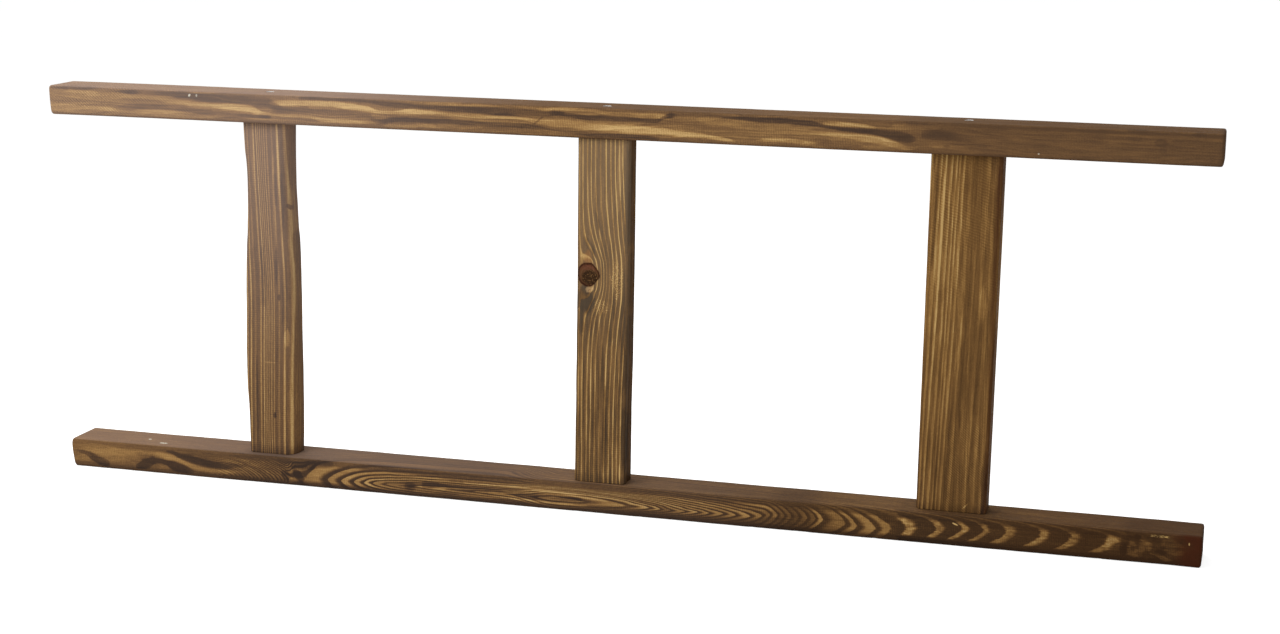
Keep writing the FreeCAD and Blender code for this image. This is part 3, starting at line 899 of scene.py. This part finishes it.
def left_rung_look(graph, axes):
    along, across, deep = axes
    drift = grain_noise(graph, axes, 150, 14, 3.0)
    aside = across - graph.curve(along, 0, LADDER_HEIGHT, LEFT_SWAY) + drift * 2.4
    radius = rings_outwards(aside, deep, 190, 20)
    line = ring_lines(graph, graph.curve(radius, -60, 60, LEFT_RUNG_RINGS), 0.45, 3.0)
    side_streaks = grain_noise(graph, axes, 90, 2.6, 15.0) * deep.rise(3, 9) * 0.5
    # The right side is made paler: painted light on that side.
    painted_side_light = across.rise(22, 30) * deep.rise(36, 10)
    tone = 0.38 + line * 0.52 + painted_side_light * 0.12 + side_streaks
    tone = tone + spots(graph, axes, LEFT_LIGHT) - spots(graph, axes, LEFT_DARK)
    # Darker over the foot, where the rung meets the lower rail: painted shade.
    tone = tone - along.rise(52, 40) * 0.14
    ripple = ripples(graph, axes, 2.8, 0.0, 1.0)
    # The grey grows towards the top of the rung: painted haze and light from above.
    return {"tone": tone + ripple * 0.05, "height": line + ripple * 0.3,
            "colours": [(HAZE_GREY, 0.06 + along.rise(60, 470) * 0.22)]}


# %% [markdown]
# ## The middle rung and its knot
# A branch grew out of the trunk here. The wood flowed round it as it thickened, so the lines are
# pushed aside by the knot: hard beside it, and less further up and down the rung. Inside the
# knot the branch has rings of its own, a reddish ring of bark and a crumbled dark core.

# %% Middle rung finish
KNOT_ALONG = 297.0
KNOT_ACROSS = -16.5
KNOT_RADIUS = 13.8
CORE_ALONG = 293.5           # the crumbled core lies off the knot's middle
CORE_ACROSS = -14.5
KNOT_PUSH = [
    (0, 0), (125, 0.3), (190, 1.2), (233, 4.5), (257, 10), (275, 16), (295, 19.5), (308, 18.5),
    (320, 14.5), (335, 9), (350, 5), (370, 2), (392, 0.3), (500, 0)]
WIDE_PUSH = [
    (0, 0), (125, 0.6), (190, 2.8), (233, 5.5), (257, 8), (280, 9.6), (300, 9.6), (330, 7.5),
    (350, 5.2), (400, 2), (440, 0.6), (500, 0)]
MIDDLE_RUNG_RINGS = [
    (-60, -5), (-28.5, 0.85), (-23.5, 1.85), (-17.3, 2.85), (-12.8, 3.85), (-7.3, 4.85), (-1.1, 5.85),
    (5.1, 6.85), (10.8, 7.85), (16.3, 8.85), (21.3, 9.85), (25.5, 10.85), (60, 17)]
MIDDLE_DARK = [
    (266, -20, 17, 11, 0.0, 0.4), (240, -25, 18, 5, 0.0, 0.2), (331, -14, 12, 4, -0.5, 0.16),
    (110, 6, 60, 3, 0.02, 0.16), (245, 14, 40, 4, 0.08, 0.14), (215, 27, 80, 3.5, 0.02, 0.14),
    (392, 31, 60, 3.5, 0.0, 0.12), (95, 30, 40, 3, 0.0, 0.18), (360, -4, 14, 2.5, -0.3, 0.14)]
MIDDLE_LIGHT = [
    (279, -14, 4, 4.5, 0.2, 0.4), (317, -19, 7, 4, -0.3, 0.2), (420, 22, 46, 3.2, 0.04, 0.18),
    (300, 17, 30, 4, 0.0, 0.08), (60, 20, 26, 5, 0.0, 0.1), (51, 25, 11, 0.9, 0.0, 0.4)]


def middle_rung_look(graph, axes):
    along, across, deep = axes
    drift = grain_noise(graph, axes, 90, 12, 8.0)
    knot_side = across - KNOT_ACROSS
    close_push = graph.curve(along, 0, LADDER_HEIGHT, KNOT_PUSH)
    wide_push = graph.curve(along, 0, LADDER_HEIGHT, WIDE_PUSH)
    push = close_push.mix(wide_push, knot_side.rise(12, 34)) * knot_side.rise(-16, 6)
    radius = rings_outwards(across - push + drift * 1.8, deep, 170, 16)
    line = ring_lines(graph, graph.curve(radius, -60, 60, MIDDLE_RUNG_RINGS), 0.52, 7.0, 0.9, 0.35)
    line = line * (1 - across.rise(28.5, 31.5) * 0.85)
    streaks = grain_noise(graph, axes, 70, 3.4, 17.0, 3.0)
    near_knot = along.hump(300, 90) * knot_side.rise(2, 10)

    # The knot is a slightly pointed disc.
    ragged = graph.noise(graph.vector(along / 5, across / 5, deep / 5), detail=3.0) - 0.5
    crumbs = graph.noise(graph.vector(along / 1.7, across / 1.7, deep / 1.7), detail=3.0)
    up = (along - KNOT_ALONG) * (1 + knot_side.rise(4, 16) * 0.5)
    around = (up * up + knot_side * knot_side) ** 0.5 + ragged * 2.4
    nearby = deep.rise(26, 14)
    inside = around.rise(KNOT_RADIUS + 1.2, KNOT_RADIUS) * nearby
    bark = around.hump(KNOT_RADIUS - 0.4, 2.6) * nearby
    core_up = (along - CORE_ALONG) / 9.5
    core_side = (across - CORE_ACROSS) / 11.5
    core = ((core_up * core_up + core_side * core_side) ** 0.5 + ragged * 0.5).rise(1.05, 0.75) * inside
    branch_rings = (around * 1.9).maths("SINE") * 0.5 + 0.5
    red_side = (along - 303).rise(-4, 4) * inside
    torn = spots(graph, axes, [(292, 20, 22, 8, 0.0, 1.0), (258, 0, 8, 12, 0.0, 0.8)])
    torn = torn * crumbs.rise(0.48, 0.58)
    glow = spots(graph, axes, [(318, -17.5, 9, 5, 0.0, 1.0)])
    cream = spots(graph, axes, [(279, -14, 4.5, 5, 0.25, 1.0)]) * crumbs.rise(0.35, 0.5)

    tone = 0.37 + line * (0.62 + near_knot * 0.1) + streaks * (0.5 + along.rise(300, 200) * 0.4)
    # Lighter towards the top: painted light from above.
    tone = tone + along.rise(180, 440) * 0.08
    tone = tone + spots(graph, axes, MIDDLE_LIGHT) - spots(graph, axes, MIDDLE_DARK)
    # Apart from the torn patches, this darkens the foot, where the rung meets the lower rail, and the right
    # edge: painted shade.
    tone = tone + torn * 0.34 - along.rise(52, 40) * 0.14 - across.rise(28, 32) * 0.1
    ripple = ripples(graph, axes, 2.7, 0.0, along.rise(150, 80))
    # A pale grey towards the top of the front face: painted light from above.
    painted_top_light = (0.09 + along.rise(120, 460) * 0.2) * deep.rise(12, 4) * (1 - line * 0.8)
    height = (line + ripple * 0.3) * (1 - inside) + inside * (crumbs * 2.4 - 1.4) + bark * 1.2 - torn
    return {
        "tone": tone + ripple * 0.04, "height": height,
        "colours": [
            (colour(162, 144, 120), painted_top_light),
            (colour(150, 104, 62), glow * 0.45), (colour(180, 146, 104), cream * 0.6),
            (colour(84, 54, 34), inside * (0.75 + 0.2 * branch_rings)),
            (colour(112, 66, 50), red_side * crumbs.rise(0.3, 0.62) * 0.8 * (1 - core)),
            (colour(48, 24, 16), bark * 0.9),
            (colour(38, 26, 16), core * (0.55 + crumbs * 0.5)),
            (colour(128, 94, 58), (core + bark * 0.3) * crumbs.rise(0.55, 0.63) * 0.7),
        ],
    }


# %% [markdown]
# ## The right rung
# The widest rung is quiet: tan bands over its left half that lean a little to the right, and a
# smoother right half where the planer's ripples show. Its right side is painted darker, as shade.

# %% Right rung finish
RIGHT_LEAN = 0.035
RIGHT_RUNG_RINGS = [
    (-80, -5), (-40, 0.75), (-34.5, 1.75), (-27.5, 2.75), (-22.5, 3.75), (-18.5, 4.75), (-13.5, 5.75),
    (-4.5, 6.75), (5.5, 7.75), (15, 8.75), (24, 9.75), (33, 10.75), (80, 16)]
RIGHT_DARK = [
    (95, -21, 40, 2, 0.0, 0.18), (80, -8, 34, 2.4, 0.02, 0.16), (160, -3, 60, 3, 0.06, 0.14),
    (215, 22, 60, 5, 0.0, 0.12), (390, -33, 60, 3, 0.02, 0.14), (75, 37, 40, 3.6, 0.0, 0.24),
    (250, 39, 120, 2.4, 0.0, 0.16), (400, 38, 50, 3.4, 0.0, 0.14), (230, 8, 90, 4, 0.03, 0.1)]
RIGHT_LIGHT = [
    (340, -26, 90, 3, 0.03, 0.14), (290, 26, 20, 4, 0.0, 0.14), (130, 12, 40, 4, 0.0, 0.1),
    (230, 1.5, 50, 1.2, 0.04, 0.16), (100, 26, 50, 3, 0.0, 0.1), (60, -30, 30, 3, 0.0, 0.1),
    (45, 15.5, 3.4, 1.1, 0.9, 0.4)]


def right_rung_look(graph, axes):
    along, across, deep = axes
    drift = grain_noise(graph, axes, 160, 16, 6.0)
    radius = rings_outwards(across - (along - 60) * RIGHT_LEAN + drift * 3, deep, 240, 22)
    line = ring_lines(graph, graph.curve(radius, -80, 80, RIGHT_RUNG_RINGS), 0.3, 5.0)
    left_half = across.rise(10, -6)
    high_ripples = ripples(graph, axes, 3.3, 0.35, along.rise(260, 340), 9.0) * 0.6
    low_ripples = ripples(graph, axes, 3.0, 0.8, along.rise(180, 140) * across.rise(-14, -4))
    ripple = high_ripples + low_ripples
    combs = grain_noise(graph, axes, 45, 2.0, 12.0, 3.0)
    tone = 0.43 + line * (0.22 + 0.18 * left_half)
    # Lighter over the upper left half; the last term darkens the lower part: painted shade, with the light
    # from above.
    tone = tone + left_half * along.rise(180, 330) * 0.1 - along.rise(200, 80) * 0.06
    streaks = grain_noise(graph, axes, 80, 3.4, 19.0, 3.0)
    tone = tone + ripple * 0.11 + combs * 0.5 + streaks * 0.4
    # The last term darkens the foot, where the rung meets the lower rail: painted shade.
    tone = tone + spots(graph, axes, RIGHT_LIGHT) - spots(graph, axes, RIGHT_DARK) - along.rise(50, 40) * 0.1
    # A dark reddish brown on the right side: painted shade.
    reddish = across.rise(34, 40) * deep.rise(30, 10)
    golden = spots(graph, axes, [(250, 0, 260, 50, 0.0, 1.0)], 0.2, 0.0)
    # The faint, even grey over the whole rung is painted haze.
    return {
        "tone": tone, "height": line * 0.7 + ripple * 0.6,
        "colours": [(colour(128, 90, 34), golden * 0.2), (HAZE_GREY, 0.02),
                    (colour(72, 40, 22), reddish * 0.5)],
    }


# %% [markdown]
# ## Making the boards
# Each board gets its finish, its sizes and its own wear. The lower rail's upper front edge is
# rubbed rounder than the rest and chipped near its right end. The rungs have well rounded
# sides and crisp ends, because they butt against the rails. The front edge on a rung's right
# side differs from rung to rung: very round on the left rung, and almost sharp on the others.

# %% Rails
RAIL_WEAR = {
    "Edge Radius": 4.0 * MM, "Front Top Radius": 4.0 * MM, "Front Low Radius": 4.0 * MM,
    "End Radius": 2.8 * MM, "Bow": 0.5 * MM, "Waves": 0.16 * MM, "Nicks": 0.7 * MM,
}
SCREW_HEAD_RADIUS = 5.3
SCREW_HEAD_DEPTH = 0.6


def screw_seats(face_z, outward):
    """A cutter at each rung's screw, on the face of a rail."""
    cutters = []
    for node in ("left_rung", "middle_rung", "right_rung"):
        low, high = box_mm(node)
        middle = (low + high) / 2
        cutters.append(seat_plug(node + "_seat", middle.x, middle.y, face_z, outward,
                                 SCREW_HEAD_RADIUS, SCREW_HEAD_DEPTH))
    return cutters


lower_low, _ = box_mm("bottom_rail")
_, upper_high = box_mm("top_rail")

lower_finish = pine("lower_rail_pine", "bottom_rail", False, lower_rail_look)
lower_wear = {**RAIL_WEAR, "Front Top Radius": 7.0 * MM, "Left Cut": 4.5 * MM, "Seed": 3.0}
lower_chips = [{"along": 679, "deep_side": -1, "high_side": 1, "length": 44, "depth": 1.3}]
lower_rail = make_board("bottom_rail", lower_finish, False, RAIL_STEP, lower_wear,
                        chips=lower_chips, seats=screw_seats(lower_low.z, -1), longer=(0, 1.4))

upper_finish = pine("upper_rail_pine", "top_rail", False, upper_rail_look)
upper_wear = {**RAIL_WEAR, "Left Cut": 2.4 * MM, "Seed": 11.0}
upper_rail = make_board("top_rail", upper_finish, False, RAIL_STEP, upper_wear,
                        seats=screw_seats(upper_high.z, 1), longer=(2.2, -1.3))

# %% Rungs
RUNG_WEAR = {
    "Edge Radius": 10.0 * MM, "Front Top Radius": 10.0 * MM, "Front Low Radius": 10.0 * MM,
    "End Radius": 0.8 * MM, "Edge Wander": 0.18, "Bow": 0.3 * MM, "Waves": 0.16 * MM,
    "Nicks": 0.6 * MM,
}
HALF_RUNG = 213              # the outlines below run this far either way from a rung's middle
LEFT_OUTLINE = {
    "reach": HALF_RUNG,
    "lower": [(-HALF_RUNG, 0), (-155, -0.7), (-76, -1.0), (0, -0.8), (53, -0.4), (79, 1.4), (104, 2.2),
              (154, 3.3), (HALF_RUNG, 2.0)],
    "upper": [(-HALF_RUNG, 0), (-155, 1.6), (-103, 3.4), (-50, 2.2), (1, 1.4), (53, -0.7), (79, -2.3),
              (129, -3.9), (154, -3.3), (180, -1.0), (HALF_RUNG, 0.3)],
}
MIDDLE_OUTLINE = {
    "reach": HALF_RUNG,
    "lower": [(-HALF_RUNG, 1.7), (-140, 1.5), (-60, 0.2), (60, -0.6), (HALF_RUNG, -1.1)],
    "upper": [(-HALF_RUNG, 2.1), (-140, 1.2), (-60, 0.5), (60, -0.3), (HALF_RUNG, -0.5)],
}
RIGHT_OUTLINE = {
    "reach": HALF_RUNG,
    "lower": [(-HALF_RUNG, 1.8), (0, 0), (HALF_RUNG, -1.5)],
    "upper": [(-HALF_RUNG, 1.6), (0, 0), (HALF_RUNG, -1.4)],
}

left_finish = pine("left_rung_pine", "left_rung", True, left_rung_look)
left_wear = {**RUNG_WEAR, "Front Low Radius": 15.0 * MM, "Seed": 5.0}
left_rung = make_board("left_rung", left_finish, True, RUNG_STEP, left_wear, outline=LEFT_OUTLINE)

middle_finish = pine("middle_rung_pine", "middle_rung", True, middle_rung_look)
middle_wear = {**RUNG_WEAR, "Front Low Radius": 2.8 * MM, "Seed": 8.0}
middle_rung = make_board("middle_rung", middle_finish, True, RUNG_STEP, middle_wear,
                         outline=MIDDLE_OUTLINE)

right_finish = pine("right_rung_pine", "right_rung", True, right_rung_look)
right_chips = [{"along": -176, "deep_side": -1, "high_side": -1, "length": 30, "depth": 1.8}]
right_wear = {**RUNG_WEAR, "Front Low Radius": 3.2 * MM, "Seed": 13.0}
right_rung = make_board("right_rung", right_finish, True, RUNG_STEP, right_wear,
                        outline=RIGHT_OUTLINE, chips=right_chips)

# %% [markdown]
# ## Screws and dowels
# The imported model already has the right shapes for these, so they keep them and only get a
# finish. Only the screw heads show, in the outer faces of the rails: dull zinc with smears of
# stain. The dowels are bare beech, and they are hidden in the joints.

# %% Screws and dowels


def zinc():
    material, graph = blank_material("dulled_zinc")
    position = graph.position()
    stained = graph.noise(position, scale=260.0, detail=3.0).rise(0.42, 0.62)
    scratched = graph.noise(position, scale=1800.0, detail=2.0)
    metal = graph.colours(colour(118, 108, 94), colour(70, 52, 36), stained * 0.85)
    bump = graph.node("ShaderNodeBump", None, {"Strength": 0.3, "Distance": 0.05 * MM, "Height": scratched})
    shader = graph.node("ShaderNodeBsdfPrincipled", None, {
        "Base Color": metal, "Metallic": 0.8 - stained * 0.6,
        "Roughness": 0.42 + stained * 0.3 + scratched * 0.12, "Normal": bump})
    graph.node("ShaderNodeOutputMaterial", None, {"Surface": shader})
    return material


def beech():
    material, graph = blank_material("bare_beech")
    x, y, z = graph.parts(graph.position())
    fibre = graph.noise(graph.vector(x / 0.0006, y / 0.0006, z / 0.012), detail=3.0)
    wood = graph.colours(colour(222, 188, 142), colour(182, 138, 92), fibre)
    bump = graph.node("ShaderNodeBump", None, {"Strength": 0.3, "Distance": 0.1 * MM, "Height": fibre})
    shader = graph.node("ShaderNodeBsdfPrincipled", None, {
        "Base Color": wood, "Roughness": 0.6 + fibre * 0.2, "Normal": bump})
    graph.node("ShaderNodeOutputMaterial", None, {"Surface": shader})
    return material


def refinish(node, material):
    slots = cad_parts[node].data.materials
    slots.clear()
    slots.append(material)


refinish("rung_screws", zinc())
refinish("rung_dowels", beech())

# %% [markdown]
# ## The studio
# The photograph is a cut-out on white. The floor here is a wide pale sheet with a soft shadow
# on it. It glows only to the camera and in reflections, so that it reads as white without
# throwing more light on the ladder. The light comes from three soft lamps and an even white
# surround: one lamp is near the left end, one is further off in front, and one is high up
# behind the left half, to light the rails' top faces.

# %% Floor, lights and surround
FLOOR_SIZE = 60.0
FLOOR_GLOW = 0.71
SURROUND_LIGHT = 0.45
LAMPS = [
    # name, place, target, width, height (all in metres) and power in watts
    ("window_lamp", (-1.05, -1.15, 1.5), (-0.2, 0, 0.3), 1.0, 0.8, 19),
    ("room_lamp", (1.0, -3.2, 1.6), (0.2, 0, 0.3), 1.8, 1.2, 26),
    ("ceiling_lamp", (-0.7, 1.1, 2.3), (-0.2, 0, 0.3), 1.6, 1.2, 26),
]


def seen_rays(graph):
    """1 for what the camera sees, straight or in a reflection, and 0 for light that falls on things."""
    camera_rays = graph.node("ShaderNodeLightPath", None, None, "Is Camera Ray")
    outputs = camera_rays.socket.node.outputs
    reflected = Value(graph, outputs["Is Glossy Ray"])
    return camera_rays.most(reflected).most(Value(graph, outputs["Is Transmission Ray"]))


def floor_finish():
    material, graph = blank_material("pale_floor")
    position = graph.position()
    mottle = graph.noise(position, scale=9.0, detail=3.0)
    paper = graph.colours(colour(236, 236, 236), colour(230, 230, 230), mottle)
    matt = graph.node("ShaderNodeBsdfDiffuse", None, {"Color": paper})
    glow = graph.node("ShaderNodeEmission", None, {"Strength": seen_rays(graph) * FLOOR_GLOW})
    both = graph.node("ShaderNodeAddShader", None, {0: matt, 1: glow})
    graph.node("ShaderNodeOutputMaterial", None, {"Surface": both})
    return material


def add_floor():
    mesh = bpy.data.meshes.new("studio_floor")
    half = FLOOR_SIZE / 2
    corners = [(-half, -half, 0), (half, -half, 0), (half, half, 0), (-half, half, 0)]
    mesh.from_pydata(corners, [], [(0, 1, 2, 3)])
    mesh.materials.append(floor_finish())
    floor = bpy.data.objects.new("studio_floor", mesh)
    bpy.context.scene.collection.objects.link(floor)


def add_lamp(name, place, target, width, height, power):
    data = bpy.data.lights.new(name, "AREA")
    data.shape = "RECTANGLE"
    data.size = width
    data.size_y = height
    data.energy = power
    lamp = bpy.data.objects.new(name, data)
    lamp.location = place
    lamp.rotation_euler = (Vector(target) - Vector(place)).to_track_quat("-Z", "Y").to_euler()
    bpy.context.scene.collection.objects.link(lamp)


def add_surround():
    world = bpy.data.worlds.new("white_surround")
    bpy.context.scene.world = world
    world.use_nodes = True
    world.node_tree.nodes.clear()
    graph = Graph(world.node_tree)
    strength = SURROUND_LIGHT + seen_rays(graph) * (1 - SURROUND_LIGHT)
    back = graph.node("ShaderNodeBackground", None, {"Strength": strength})
    graph.node("ShaderNodeOutputWorld", None, {"Surface": back})


add_floor()
for lamp in LAMPS:
    add_lamp(*lamp)
add_surround()

scene = bpy.context.scene
scene.view_settings.view_transform = "Standard"
